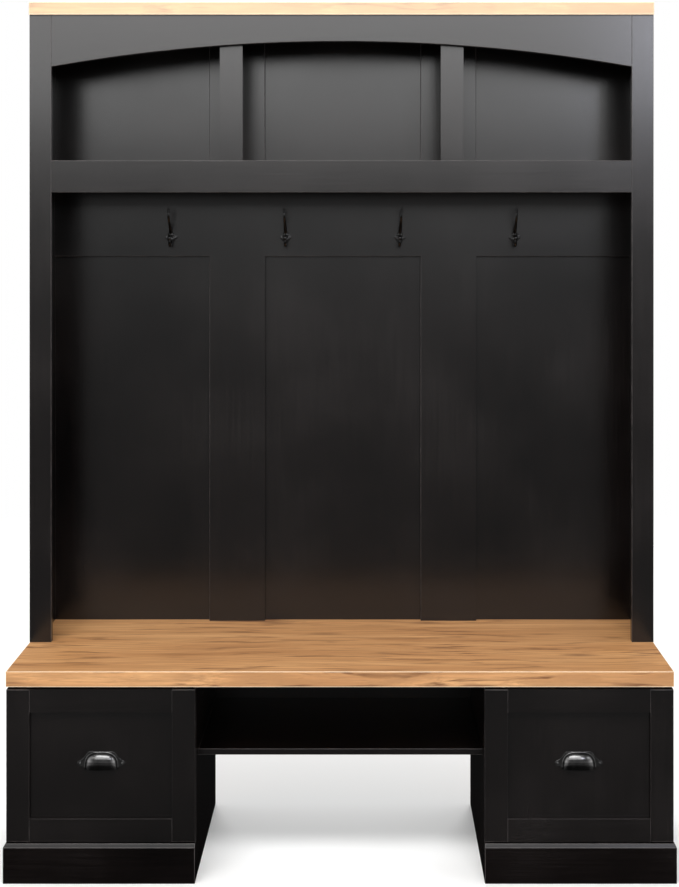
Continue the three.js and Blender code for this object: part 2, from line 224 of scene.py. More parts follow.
def oak_laminate(name, pale_share=0.0, pale=(0.58, 0.46, 0.33)):
    """Oak-look laminate with its grain along X.

    It has a cathedral flame, fine lines, short dark streaks and a few knots.
    """
    shader = Shader(name, specular=0.45)
    split = shader.node("ShaderNodeSeparateXYZ", {"Vector": shader.place})
    x, y, z = (split.outputs[axis] for axis in "XYZ")

    # Knots sit in stretched cells, and the grain bends round them.
    cells = shader.stretched((2.4, 9.0, 9.0))
    knot = shader.node(
        "ShaderNodeTexVoronoi", {"Vector": cells, "Scale": 1.0, "Randomness": 1.0}
    )
    distance = knot.outputs["Distance"]
    bend = shader.remap(distance, 0.0, 0.62, 1.0, 0.0)
    bend = shader.math("MULTIPLY", bend, bend)
    drift = shader.noise(shader.stretched((1.6, 3.0, 3.0)), 1.0, 3.0)
    shift = shader.math("MULTIPLY_ADD", drift, 0.085, y)
    shift = shader.math("MULTIPLY_ADD", bend, 0.022, shift)
    grain = shader.node("ShaderNodeCombineXYZ", {"X": x, "Y": shift, "Z": z})
    grain = grain.outputs["Vector"]

    flame = shader.noise(shader.stretched((1.5, 26.0, 26.0), grain), 1.0, 5.0, 0.55, 0.35)
    lines = shader.noise(shader.stretched((3.2, 210.0, 210.0), grain), 1.0, 3.0, 0.6)
    pores = shader.noise(shader.stretched((26.0, 950.0, 950.0), grain), 1.0, 2.0, 0.5)
    streaks = shader.noise(shader.stretched((6.5, 75.0, 75.0), grain), 1.0, 3.0, 0.55, 0.6)
    patches = shader.noise(shader.stretched((2.6, 5.0, 5.0)), 1.0, 2.0)
    rings = shader.node(
        "ShaderNodeTexWave",
        {
            "Vector": shader.stretched((1.3, 10.0, 10.0), grain),
            "Scale": 2.2,
            "Distortion": 5.5,
            "Detail": 3.0,
            "Detail Scale": 0.9,
        },
        bands_direction="Y",
    ).outputs["Fac"]

    colour = shader.ramp(
        flame,
        (0.30, (0.440, 0.198, 0.071)),
        (0.44, (0.575, 0.282, 0.110)),
        (0.56, (0.665, 0.346, 0.141)),
        (0.72, (0.755, 0.424, 0.190)),
    )
    late = shader.remap(rings, 0.50, 1.0, 0.0, 0.58)
    colour = shader.mix(late, colour, rgba((0.400, 0.190, 0.072)))
    fine = shader.remap(lines, 0.36, 0.62, 0.0, 0.74)
    colour = shader.mix(fine, colour, rgba((0.430, 0.212, 0.084)))
    gate = shader.remap(patches, 0.37, 0.54)
    dark = shader.math("MULTIPLY", shader.remap(streaks, 0.53, 0.66), gate)
    colour = shader.mix(dark, colour, rgba((0.210, 0.088, 0.031)))
    eye = shader.remap(distance, 0.02, 0.13, 1.0, 0.0)
    eye = shader.math("MULTIPLY", eye, shader.remap(lines, 0.25, 0.5))
    colour = shader.mix(
        shader.math("MULTIPLY", eye, 0.8), colour, rgba((0.140, 0.055, 0.022))
    )
    open_pores = shader.remap(pores, 0.58, 0.72, 0.0, 0.36)
    colour = shader.mix(open_pores, colour, rgba((0.25, 0.115, 0.045)))
    # Mixes in the pale colour; on the edge material this paints the highlight along the arris.
    if pale_share:
        colour = shader.mix(pale_share, colour, rgba(pale))
    shader.colour(colour)
    shader.roughness(shader.remap(lines, 0.3, 0.7, 0.36, 0.47))
    shader.bump(lines, 0.10, 0.0004)
    shader.bump(pores, 0.10, 0.0002)
    return shader.material


def drawer_foil():
    """Dark matt foil on the drawer boxes, with a faint linear print."""
    shader = Shader("drawer_foil", specular=0.4)
    print_lines = shader.noise(shader.stretched((150.0, 6.0, 150.0)), 1.0, 3.0)
    cloud = shader.noise(shader.place, 5.0, 3.0)
    tone = shader.math("MULTIPLY_ADD", print_lines, 0.6, cloud)
    shader.colour(
        shader.ramp(tone, (0.55, (0.020, 0.018, 0.017)), (1.05, (0.044, 0.040, 0.038)))
    )
    shader.roughness(shader.remap(cloud, 0.3, 0.7, 0.48, 0.60))
    shader.bump(print_lines, 0.12, 0.0003)
    return shader.material


def hardboard():
    """Raw brown hardboard: pressed fibres with darker flecks."""
    shader = Shader("hardboard", specular=0.3)
    fibres = shader.noise(shader.place, 260.0, 6.0, 0.7)
    flecks = shader.noise(shader.stretched((90.0, 90.0, 140.0)), 1.0, 4.0, 0.6)
    cloud = shader.noise(shader.place, 4.0, 3.0)
    tone = shader.math("MULTIPLY_ADD", fibres, 0.6, shader.math("MULTIPLY", cloud, 0.6))
    colour = shader.ramp(
        tone,
        (0.40, (0.060, 0.034, 0.019)),
        (0.62, (0.105, 0.062, 0.036)),
        (0.85, (0.160, 0.100, 0.060)),
    )
    fleck = shader.remap(flecks, 0.60, 0.72, 0.0, 0.6)
    shader.colour(shader.mix(fleck, colour, rgba((0.035, 0.020, 0.012))))
    shader.roughness(shader.remap(fibres, 0.3, 0.7, 0.62, 0.80))
    shader.bump(fibres, 0.30, 0.0004)
    return shader.material


def hook_iron():
    """Cast iron under black powder coat, a little lumpy and half glossy."""
    shader = Shader("hook_iron", specular=0.5)
    lumps = shader.noise(shader.place, 160.0, 3.0)
    grit = shader.noise(shader.place, 1500.0, 2.0)
    shader.colour(
        shader.ramp(lumps, (0.35, (0.0016, 0.0015, 0.0015)), (0.7, (0.0036, 0.0034, 0.0034)))
    )
    shader.roughness(shader.remap(lumps, 0.3, 0.7, 0.10, 0.20))
    shader.bump(lumps, 0.25, 0.0006)
    shader.bump(grit, 0.10, 0.0001)
    return shader.material


def pull_metal():
    """Dark gunmetal plating, brushed lightly, with paler metal where hands rub it."""
    shader = Shader("pull_metal", metallic=1.0)
    brushed = shader.noise(shader.stretched((40.0, 900.0, 900.0)), 1.0, 3.0)
    cloud = shader.noise(shader.place, 60.0, 3.0)
    tone = shader.math("MULTIPLY_ADD", brushed, 0.5, cloud)
    shader.colour(
        shader.ramp(tone, (0.5, (0.050, 0.050, 0.051)), (1.0, (0.110, 0.108, 0.107)))
    )
    shader.roughness(shader.remap(tone, 0.5, 1.0, 0.15, 0.24))
    shader.bump(brushed, 0.06, 0.0001)
    return shader.material


def zinc_steel():
    """Zinc-plated steel: pale grey, with drawing lines along Y and a mottled passivate."""
    shader = Shader("zinc_steel", metallic=1.0)
    scale = (STEEL_ACROSS, STEEL_ALONG, STEEL_ACROSS)
    lines = shader.noise(shader.stretched(scale), 1.0, 3.0)
    mottle = shader.noise(shader.place, 90.0, 4.0)
    tone = shader.math("MULTIPLY_ADD", lines, 0.5, mottle)
    shader.colour(shader.ramp(tone, (0.5, (0.36, 0.37, 0.38)), (1.0, (0.60, 0.61, 0.62))))
    shader.roughness(shader.remap(tone, 0.5, 1.0, 0.28, 0.42))
    shader.bump(lines, 0.08, 0.0001)
    return shader.material


BLACK_UPRIGHT = black_board("black_upright", 2)
BLACK_LEVEL = black_board("black_level", 0)
BLACK_PLINTH = black_board("black_plinth", 0, specular=0.16)
# Pale black on the rounded edges: a painted highlight along the arris.
EDGE_HIGHLIGHT_PAINT = painted_edge_highlight()
BLACK_SIDE = black_board("black_inner", 1, specular=0.1)
OAK = oak_laminate("oak_laminate")
OAK_PALE = oak_laminate("oak_pale_top", pale_share=0.42)
# Pale oak on the rounded edges: a painted highlight along the arris.
OAK_EDGE_HIGHLIGHT = oak_laminate("oak_edge_painted_highlight", pale_share=0.8, pale=(0.92, 0.76, 0.56))
FOIL = drawer_foil()
HARDBOARD = hardboard()
IRON = hook_iron()
GUNMETAL = pull_metal()
STEEL = zinc_steel()


# ---- carried-over boards ----
LEVEL_BOARDS = (
    "arch_rail",
    "shelf_rail",
    "shelf_board",
    "centre_shelf",
    "centre_back",
    "hanging_cleat",
    "top_rail",
    "bottom_rail",
    "cabinet_bottom",
)
# The side boards are dull, on their outer faces too.
SIDE_BOARDS = ("hutch_side", "cabinet_outer_side", "cabinet_inner_side")
BY_SLOT = {
    "oak_laminate": OAK,
    "drawer_board": FOIL,
    "hardboard": HARDBOARD,
    "hook_iron": IRON,
    "pull_metal": GUNMETAL,
    "slide_steel": STEEL,
}
ARRIS = {
    "oak_laminate": 1.3 * MM,
    "black_board": 1.2 * MM,
    "drawer_board": 0.5 * MM,
    "hardboard": 0.2 * MM,
    "slide_steel": 0.35 * MM,
}
ARRIS_SEGMENTS = 3
SHARP_DEGREES = 28
# How much of its rounding an edge keeps where another board meets it. Stiles keep more, and their
# joints show as pale lines, where the rounding carries a painted highlight.
JOINT_SHARE = 0.2
STILE_JOINT_SHARE = 0.8
# Pale edge colours for the rounded edges, which paint a highlight along each arris.
EDGE_MATERIAL = {"black_board": EDGE_HIGHLIGHT_PAINT, "oak_laminate": OAK_EDGE_HIGHLIGHT}
DRAWER_FRONT_ARRIS = 2.1 * MM
DRAWER_FRONT = (
    "drawer_outer_stile",
    "drawer_inner_stile",
    "drawer_top_rail",
    "drawer_bottom_rail",
)
WELD_GAP = 0.02 * MM
PROBE_OUT, PROBE_BACK = 1.0 * MM, 0.5 * MM  # where a neighbouring board is felt for, off an edge


def board_material(node, slot):
    if node == "hutch_top_board":
        return OAK_PALE
    if slot in BY_SLOT:
        return BY_SLOT[slot]
    if node.endswith("plinth_moulding"):
        return BLACK_PLINTH
    if node.endswith(SIDE_BOARDS):
        return BLACK_SIDE
    return BLACK_LEVEL if node.endswith(LEVEL_BOARDS) else BLACK_UPRIGHT


def edge_normals(piece):
    """Each vertex as a rounded point, and by pairs of them the normals of the faces that meet."""
    mesh = piece.data
    points = [tuple(round(c, 5) for c in piece.matrix_world @ v.co) for v in mesh.vertices]
    turn = piece.matrix_world.to_3x3()
    found = {}
    for face in mesh.polygons:
        normal = (turn @ face.normal).normalized()
        for a, b in face.edge_keys:
            found.setdefault(tuple(sorted((points[a], points[b]))), []).append(normal)
    return points, found


def meets_a_board(node, middle, first, second):
    """True if another board lies flush with, or stands on, one of the faces beside this edge."""
    for over, along in ((first, second), (second, first)):
        probe = middle + over * PROBE_OUT - along * PROBE_BACK
        for other, (low, high) in BOARD_BOXES.items():
            if other != node and all(a < c < b for a, c, b in zip(low, probe, high)):
                return True
    return False


def weigh_arrises(node, piece):
    """Marks how much of the full rounding each sharp edge gets."""
    points, found = edge_normals(piece)
    joint = STILE_JOINT_SHARE if node.endswith("stile") else JOINT_SHARE
    weights = piece.data.attributes.new("bevel_weight_edge", "FLOAT", "EDGE")
    limit = math.cos(math.radians(SHARP_DEGREES))
    for edge in piece.data.edges:
        ends = tuple(sorted(points[i] for i in edge.vertices))
        normals = found.get(ends, [])
        sharp = [n for n in normals[1:] if n.dot(normals[0]) < limit]
        if not sharp:
            continue
        middle = (Vector(ends[0]) + Vector(ends[1])) / 2
        met = meets_a_board(node, middle, normals[0], sharp[0])
        weights.data[edge.index].value = joint if met else 1.0


def round_arrises(node, piece, width, edge_material=None):
    """Softens a board's edges, so that they catch the light as real ones do. An edge material on the
    rounding paints a highlight there as well.
    """
    weigh_arrises(node, piece)
    if edge_material:
        piece.data.materials.append(edge_material)
    weld = piece.modifiers.new("weld", "WELD")
    weld.merge_threshold = WELD_GAP
    bevel = piece.modifiers.new("arris", "BEVEL")
    bevel.width = width
    bevel.segments = ARRIS_SEGMENTS
    bevel.limit_method = "WEIGHT"
    bevel.use_clamp_overlap = False
    # The rounding takes the edge material, a pale colour that paints the arris highlight.
    bevel.material = 1 if edge_material else -1
    smooth(piece)
    normals = piece.modifiers.new("normals", "WEIGHTED_NORMAL")
    normals.keep_sharp = False
    normals.weight = 100


def smooth(piece):
    mesh = piece.data
    for name in ("custom_normal", "sharp_edge", "sharp_face"):
        if name in mesh.attributes:
            mesh.attributes.remove(mesh.attributes[name])
    mesh.polygons.foreach_set("use_smooth", [True] * len(mesh.polygons))


def dress_boards():
    for entry in frame["record"]["subparts"]:
        node, slot = entry["node"], entry["material_slot"]
        piece = NODES[node]
        piece.data.materials.clear()
        piece.data.materials.append(board_material(node, slot))
        if slot in ARRIS:
            wide = node.endswith(DRAWER_FRONT)
            width = DRAWER_FRONT_ARRIS if wide else ARRIS[slot]
            round_arrises(node, piece, width, EDGE_MATERIAL.get(slot))


# ---- building new pieces ----
def new_piece(name, mesh_or_bmesh, material, body):
    if isinstance(mesh_or_bmesh, bmesh.types.BMesh):
        mesh = bpy.data.meshes.new(name)
        bmesh.ops.recalc_face_normals(mesh_or_bmesh, faces=mesh_or_bmesh.faces)
        mesh_or_bmesh.to_mesh(mesh)
        mesh_or_bmesh.free()
    else:
        mesh = mesh_or_bmesh
    piece = bpy.data.objects.new(name, mesh)
    bpy.context.scene.collection.objects.link(piece)
    if not mesh.materials:
        mesh.materials.append(material)
    mesh.polygons.foreach_set("use_smooth", [True] * len(mesh.polygons))
    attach(piece, body)
    return piece


def ring_shell(bm, rings):
    """Joins rings of points, all of one length, into a tube, with a fan over each end."""
    rows = [[bm.verts.new(point) for point in ring] for ring in rings]
    count = len(rows[0])
    for low, high in zip(rows, rows[1:]):
        for i in range(count):
            j = (i + 1) % count
            bm.faces.new((low[i], low[j], high[j], high[i]))
    for row in (rows[0], rows[-1]):
        middle = bm.verts.new(sum((v.co for v in row), Vector()) / count)
        for i in range(count):
            bm.faces.new((row[i], row[(i + 1) % count], middle))


def catmull(points, steps):
    """Points on a smooth curve through the given ones. Works for tuples of any length."""
    padded = [points[0], *points, points[-1]]
    out = []
    for i in range(len(points) - 1):
        p0, p1, p2, p3 = padded[i : i + 4]
        for k in range(steps):
            t = k / steps
            out.append(
                tuple(
                    0.5 * (2 * b + (c - a) * t + (2 * a - 5 * b + 4 * c - d) * t**2
                    + (3 * b - a - 3 * c + d) * t**3)
                    for a, b, c, d in zip(p0, p1, p2, p3)
                )
            )
    out.append(tuple(points[-1]))
    return out


def prong(bm, stations, ball):
    """A tapering rod in the plane x = 0 with a ball at its end.

    Stations are (y, z, radius) in millimetres.
    """
    sides, ball_rings = 20, 9
    line = catmull(stations, 8)
    rings = []
    for i, (y, z, radius) in enumerate(line):
        before, after = line[max(i - 1, 0)], line[min(i + 1, len(line) - 1)]
        tangent = Vector((0, after[0] - before[0], after[1] - before[1])).normalized()
        rings.append(ring((0, y, z), tangent, radius, sides))
    end = Vector((0, *line[-1][:2]))
    start_angle = -math.acos(min(1.0, line[-1][2] / ball))
    centre = end - tangent * ball * math.sin(start_angle)
    for k in range(1, ball_rings):
        angle = start_angle + (math.pi / 2 - start_angle) * k / ball_rings
        at = centre + tangent * ball * math.sin(angle)
        rings.append(ring(at, tangent, ball * math.cos(angle), sides))
    ring_shell(bm, rings)


def ring(centre, tangent, radius, sides):
    across = Vector((1, 0, 0))
    other = tangent.cross(across)
    points = []
    for i in range(sides):
        turn = 2 * math.pi * i / sides
        offset = across * math.cos(turn) + other * math.sin(turn)
        points.append((Vector(centre) + offset * radius) * MM)
    return points


def bezier(p0, p1, p2, p3, steps):
    out = []
    for k in range(steps):
        t = k / steps
        weights = ((1 - t) ** 3, 3 * t * (1 - t) ** 2, 3 * t**2 * (1 - t), t**3)
        points = (p0, p1, p2, p3)
        out.append(tuple(sum(w * p[axis] for w, p in zip(weights, points)) for axis in (0, 1)))
    return out


def slab(bm, outline, y_front, y_back, crown=0.0):
    """A plate from an outline in (x, z), millimetres, its front edge pulled in by the crown."""
    middle = Vector((sum(p[0] for p in outline), sum(p[1] for p in outline))) / len(outline)
    rings = []
    for y, shrink in (
        (y_back, 0.0),
        (y_front + crown, 0.0),
        (y_front + crown * 0.3, crown * 0.3),
        (y_front, crown),
    ):
        points = []
        for x, z in outline:
            out = Vector((x, z)) - middle
            place = middle + out * (1 - shrink / max(out.length, 1e-6))
            points.append(Vector((place.x, y, place.y)) * MM)
        rings.append(points)
    ring_shell(bm, rings)


def fuse(name, bm, voxel, rounds):
    """Turns overlapping closed shells into one cast-looking skin with small fillets."""
    mesh = bpy.data.meshes.new(name)
    bmesh.ops.recalc_face_normals(bm, faces=bm.faces)
    bm.to_mesh(mesh)
    bm.free()
    holder = bpy.data.objects.new(name, mesh)
    bpy.context.scene.collection.objects.link(holder)
    remesh = holder.modifiers.new("remesh", "REMESH")
    remesh.mode = "VOXEL"
    remesh.voxel_size = voxel
    relax = holder.modifiers.new("relax", "SMOOTH")
    relax.factor = 0.5
    relax.iterations = rounds
    shown = holder.evaluated_get(bpy.context.evaluated_depsgraph_get())
    fused = bpy.data.meshes.new_from_object(shown)
    bpy.data.objects.remove(holder)
    bpy.data.meshes.remove(mesh)
    fused.name = name
    return fused


# A screw's cross recess, in shares of the head's radius, but its depth in shares of the height.
RECESS_HALF_WIDTH, RECESS_REACH, RECESS_TAPER, RECESS_DEPTH = 0.13, 0.58, 0.75, 0.75


def screw_head(bm, at, radius, normal=(0, -1, 0), turn=0.0, height=0.45):
    """A pan head with a cross recess, standing on a face with the given normal.

    Lengths are in metres, and the height is a share of the radius.
    """
    rings, sides = 11, 40
    facing = Vector(normal).to_track_quat("Z", "Y").to_matrix().to_4x4()
    place = Matrix.Translation(at) @ facing @ Matrix.Rotation(turn, 4, "Z")
    rows = []
    for i in range(rings + 1):
        share = 1 - i / rings
        row = []
        for k in range(sides):
            angle = 2 * math.pi * k / sides
            x, y = share * math.cos(angle), share * math.sin(angle)
            z = height * math.sqrt(max(0.0, 1 - share**2.6))
            if min(abs(x), abs(y)) < RECESS_HALF_WIDTH and share < RECESS_REACH:
                z -= height * RECESS_DEPTH * (1 - share / RECESS_TAPER)
            row.append(place @ (Vector((x, y, z)) * radius))
        rows.append(row)
    ring_shell(bm, rows[:-1])


# ---- coat hooks ----
# In millimetres, where MM doesn't turn them into metres. Prong stations are (y, z, radius).
HOOK_PLATE_T = 3.5
HOOK_TOP = 66.8  # the upper ball's top above the plate's middle
UPPER_PRONG = (
    (-1, 8.5, 5.2),
    (-8, 14, 4.4),
    (-18, 21, 3.8),
    (-30, 30, 3.3),
    (-42, 40, 2.9),
    (-50, 51, 2.7),
    (-49.2, 61, 2.7),
)
LOWER_PRONG = (
    (-1, -6, 5.0),
    (-8, -13.8, 4.2),
    (-16, -19, 3.8),
    (-25, -19.8, 3.4),
    (-31.5, -13, 3.1),
    (-33, -6, 2.9),
)
UPPER_BALL_R = 3.9
LOWER_BALL_R = 4.8
HOOK_SCREW, HOOK_SCREW_R = (10.2, -0.3), 2.6 * MM
HOOK_TILTS = (0.0, -1.0, 3.0, 0.5)  # degrees; most hooks lean a little
HOOK_BOSS = ((-2.5, 6.6), (-4.6, 6.2), (-6.2, 5.0), (-7.2, 3.2), (-7.6, 1.0))  # (y, radius)
HOOK_BOSSES_Z = (6.0, -4.0)


def hook_outline():
    """A plate with a wing for a screw each side, drawn out to a point above and below."""
    wing, top, bottom = 12.0, 22.0, -23.0
    right = [
        *bezier((0.9, top), (2.9, 14), (7, 7), (wing, 4.2), 10),
        *bezier((wing, 4.2), (wing + 3.6, 2.6), (wing + 3.6, -2.6), (wing, -4.6), 10),
        *bezier((wing, -4.6), (7, -8), (3.4, -15), (0.9, bottom), 10),
        (0.9, bottom),
    ]
    left = [(-x, z) for x, z in reversed(right)]
    return right + left


def hook_mesh():
    bm = bmesh.new()
    slab(bm, hook_outline(), -HOOK_PLATE_T, 0.0, crown=1.3)
    prong(bm, UPPER_PRONG, UPPER_BALL_R)
    prong(bm, LOWER_PRONG, LOWER_BALL_R)
    back = Vector((0, -1, 0))
    for z in HOOK_BOSSES_Z:
        rings = [ring((0, y, z), back, radius, 24) for y, radius in HOOK_BOSS]
        ring_shell(bm, rings)
    return fuse("coat_hook", bm, 0.5 * MM, 8)


def make_hooks():
    shape = hook_mesh()
    for i, tilt in enumerate(HOOK_TILTS, 1):
        node = f"coat_hook_{i}"
        low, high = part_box(node)
        middle = Vector(((low.x + high.x) / 2, high.y, high.z - HOOK_TOP * MM))
        turn = Matrix.Rotation(math.radians(tilt), 4, "Y")
        hook = new_piece(f"cast_hook_{i}", shape, IRON, "carcass")
        hook.matrix_world = Matrix.Translation(middle) @ turn
        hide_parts(node)
        bm = bmesh.new()
        for side in (-1, 1):
            at = Vector((side * HOOK_SCREW[0], -HOOK_PLATE_T, HOOK_SCREW[1])) * MM
            screw_head(bm, middle + turn @ at, HOOK_SCREW_R, turn=0.4 * side + i)
        new_piece(f"hook_{i}_screws", bm, GUNMETAL, "carcass")


# ---- cup pulls ----
# In millimetres, where MM doesn't turn them into metres.
PULL = {"half_w": 34.0, "rise": 34.5, "reach": 18.0, "wall": 2.0}
PULL_POWERS = {"front": 2.9, "side": 2.1, "plan": 2.3}
PULL_TUCK = 0.30  # how far the hood draws in again towards its lip
FLANGE_T = 2.2
FLANGE_TOP = 37.0
PULL_EAR = (45.0, 12.5)
BEAD_R = 1.7
BEAD_OUT = BEAD_R * 0.55
PULL_SCREW_R = 3.0 * MM
PULL_SOFT = 0.6 * MM


def rounded_width(height, power):
    return max(0.0, 1 - height**power) ** (1 / power)


def hood_point(around, up, inset):
    """A point of the hood, by its angle from side to side and from the lip over the top."""
    front, side, plan = (PULL_POWERS[key] for key in ("front", "side", "plan"))
    height = math.sin(up) ** (2 / front)
    across = math.copysign(abs(math.cos(around)) ** (2 / plan), math.cos(around))
    out = max(0.0, math.sin(around)) ** (2 / plan)
    out *= 1 - PULL_TUCK * (1 - height) ** 2.5
    return Vector(
        (
            across * rounded_width(height, front) * (PULL["half_w"] - inset) * MM,
            -out * rounded_width(height, side) * (PULL["reach"] - inset) * MM,
            height * (PULL["rise"] - inset) * MM,
        )
    )


def hood_shell(bm):
    """The hood as a closed skin: outer and inner faces, and the edges between them."""
    columns, rows = 64, 30
    sheets = []
    for inset in (0.0, PULL["wall"]):
        sheet = []
        for i in range(columns + 1):
            around = math.pi * i / columns
            line = []
            for j in range(rows + 1):
                up = math.pi / 2 * j / rows
                line.append(bm.verts.new(hood_point(around, up, inset)))
            sheet.append(line)
        sheets.append(sheet)
    outer, inner = sheets
    for sheet in sheets:
        for i in range(columns):
            for j in range(rows):
                near, far = sheet[i], sheet[i + 1]
                bm.faces.new((near[j], far[j], far[j + 1], near[j + 1]))
    for j in (0, rows):
        for i in range(columns):
            bm.faces.new((outer[i][j], outer[i + 1][j], inner[i + 1][j], inner[i][j]))
    for i in (0, columns):
        for j in range(rows):
            bm.faces.new((outer[i][j], outer[i][j + 1], inner[i][j + 1], inner[i][j]))
    bmesh.ops.remove_doubles(bm, verts=bm.verts, dist=2e-6)


def hood_outline(inset, steps=24):
    """Where the hood meets the flange, in millimetres, from its right foot up to the middle."""
    out = []
    for k in range(steps + 1):
        point = hood_point(0.0, math.pi / 2 * k / steps, inset)
        out.append((point.x / MM, point.z / MM))
    return out


def bead(bm):
    """A raised bead on the flange, all round the foot of the hood."""
    sides = 12
    right = hood_outline(-BEAD_OUT, 40)[:-1]
    path = right + [(0.0, PULL["rise"] + BEAD_OUT)] + [(-x, z) for x, z in reversed(right)]
    rings = []
    for i, (x, z) in enumerate(path):
        (ax, az), (bx, bz) = path[max(i - 1, 0)], path[min(i + 1, len(path) - 1)]
        tangent = Vector((bx - ax, 0, bz - az)).normalized()
        other = tangent.cross(Vector((0, 1, 0)))
        points = []
        for k in range(sides):
            turn = 2 * math.pi * k / sides
            offset = other * math.cos(turn) + Vector((0, 1, 0)) * math.sin(turn)
            points.append((Vector((x, -FLANGE_T, z)) + offset * BEAD_R) * MM)
        rings.append(points)
    ring_shell(bm, rings)


def flange_shell(bm):
    """The flange, one flat plate that arches over the hood and runs out to an ear each side."""
    shoulder, ear = 24.0, 51.0
    outer = [
        (34.2, 0.0),
        *bezier((34.6, 1.0), (36, 5), (ear - 10, 5), (ear - 6, 6), 8),
        *bezier((ear - 6, 6), (ear + 1, 8), (ear + 2, 15), (ear - 3, 17), 10),
        *bezier((ear - 3, 17), (ear - 11, 20.5), (37, 24), (33, 29), 8),
        *bezier((33, 29), (30, 33), (29, FLANGE_TOP), (shoulder, FLANGE_TOP), 8),
    ]
    inner = hood_outline(PULL["wall"])
    half = outer + [(0.0, FLANGE_TOP)]
    outline = half + [(-x, z) for x, z in reversed(outer)]
    outline += [(-x, z) for x, z in inner[:-1]]
    outline += [(0.0, PULL["rise"] - PULL["wall"])]
    outline += [(x, z) for x, z in reversed(inner[:-1])]
    front = [bm.verts.new(Vector((x, -FLANGE_T, z)) * MM) for x, z in outline]
    back = [bm.verts.new(Vector((x, 0, z)) * MM) for x, z in outline]
    bm.faces.new(front)
    bm.faces.new(back[::-1])
    for i in range(len(outline)):
        j = (i + 1) % len(outline)
        bm.faces.new((front[i], back[i], back[j], front[j]))


def soften(piece):
    bevel = piece.modifiers.new("soft_edges", "BEVEL")
    bevel.width = PULL_SOFT
    bevel.segments = 3
    bevel.limit_method = "ANGLE"
    bevel.angle_limit = math.radians(50)
    normals = piece.modifiers.new("normals", "WEIGHTED_NORMAL")
    normals.keep_sharp = False


def make_pulls():
    for side in SIDES:
        node = f"{side}_cup_pull"
        low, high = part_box(node)
        origin = Vector(((low.x + high.x) / 2, high.y, low.z))
        body = f"{side}_drawer"
        for part, make in (("hood", hood_shell), ("bead", bead), ("flange", flange_shell)):
            bm = bmesh.new()
            make(bm)
            piece = new_piece(f"{side}_pull_{part}", bm, GUNMETAL, body)
            piece.location = origin
            if part != "bead":
                soften(piece)
            if part == "hood":
                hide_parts(node)
        bm = bmesh.new()
        for hand in (-1, 1):
            ear = Vector((hand * PULL_EAR[0], -FLANGE_T, PULL_EAR[1])) * MM
            screw_head(bm, origin + ear, PULL_SCREW_R, turn=0.5 + hand)
        new_piece(f"{side}_pull_screws", bm, GUNMETAL, body)


# ---- drawer slides ----
BALL_COUNT, BALL_R, BALL_PITCH = 11, 2.0 * MM, 16 * MM
BALL_INSET = 0.75 * MM  # from the middle of the gap above or below the runner, towards it
CAGE_START = 12 * MM  # behind the channel's front
CAGE_STRIPS = (-2.6, 2.6)
CAGE_THICK, CAGE_HIGH = 0.7 * MM, 2.2 * MM
SLIDE_STEEL_T = 1.5 * MM
SLIDE_SCREW_R = 2.6 * MM
SLIDE_SCREWS = (0.09, 0.50, 0.91)  # shares of the slide's length


def make_slide_balls():
    """Each slide's ball cage: two rows of balls between thin strips, held in the channel."""
    length = BALL_PITCH * BALL_COUNT
    for side in SIDES:
        for which in ("outer", "inner"):
            channel_low, channel_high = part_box(f"{side}_{which}_slide_channel")
            runner_low, runner_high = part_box(f"{side}_{which}_slide_runner")
            x = (max(channel_low.x, runner_low.x) + min(channel_high.x, runner_high.x)) / 2
            bm = bmesh.new()
            start_y = channel_low.y + CAGE_START
            for z in (
                (runner_high.z + channel_high.z) / 2 - BALL_INSET,
                (runner_low.z + channel_low.z) / 2 + BALL_INSET,
            ):
                for i in range(BALL_COUNT):
                    at = Matrix.Translation((x, start_y + BALL_PITCH * (i + 0.5), z))
                    bmesh.ops.create_icosphere(bm, subdivisions=2, radius=BALL_R, matrix=at)
                for dx in CAGE_STRIPS:
                    size = (CAGE_THICK, length, CAGE_HIGH)
                    middle = (x + dx * MM, start_y + length / 2, z)
                    place = Matrix.Translation(middle) @ Matrix.Diagonal((*size, 1))
                    bmesh.ops.create_cube(bm, size=1.0, matrix=place)
            new_piece(f"{side}_{which}_ball_cage", bm, STEEL, "carcass")


def make_slide_screws():
    """Screws through each channel into the cabinet, and through each runner into the drawer box."""
    for side in SIDES:
        middle_x = sum(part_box(f"{side}_drawer_bottom")[k].x for k in (0, 1)) / 2
        for which in ("outer", "inner"):
            for part, body in (("channel", "carcass"), ("runner", f"{side}_drawer")):
                low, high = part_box(f"{side}_{which}_slide_{part}")
                outward = 1 if (low.x + high.x) / 2 > middle_x else -1
                on_cabinet = part == "channel"
                web_x = high.x if (outward > 0) == on_cabinet else low.x
                facing = -outward if on_cabinet else outward
                normal = (facing, 0, 0)
                bm = bmesh.new()
                for share in SLIDE_SCREWS:
                    y = low.y + (high.y - low.y) * share
                    at = Vector((web_x + facing * SLIDE_STEEL_T, y, (low.z + high.z) / 2))
                    screw_head(bm, at, SLIDE_SCREW_R, normal, turn=share * 7, height=0.35)
                name = f"{side}_{which}_{part}_screws"
                new_piece(name, bm, STEEL, body)


# ---- back fixings ----
BACKWARDS = (0, 1, 0)
BRAD_R, BRAD_SIDES = 1.5 * MM, 10
BRAD_PITCH = 0.11
BRAD_EDGE = 9 * MM
# (height in millimetres, share of the radius)
BRAD_PROFILE = ((-0.2, 1.0), (0.25, 1.0), (0.45, 0.72), (0.35, 0.3))
CLEAT_SCREWS = (0.06, 0.28, 0.5, 0.72, 0.94)  # shares of the cleat's length
CLEAT_SCREW_R, CLEAT_SCREW_SUNK = 4 * MM, 0.4 * MM


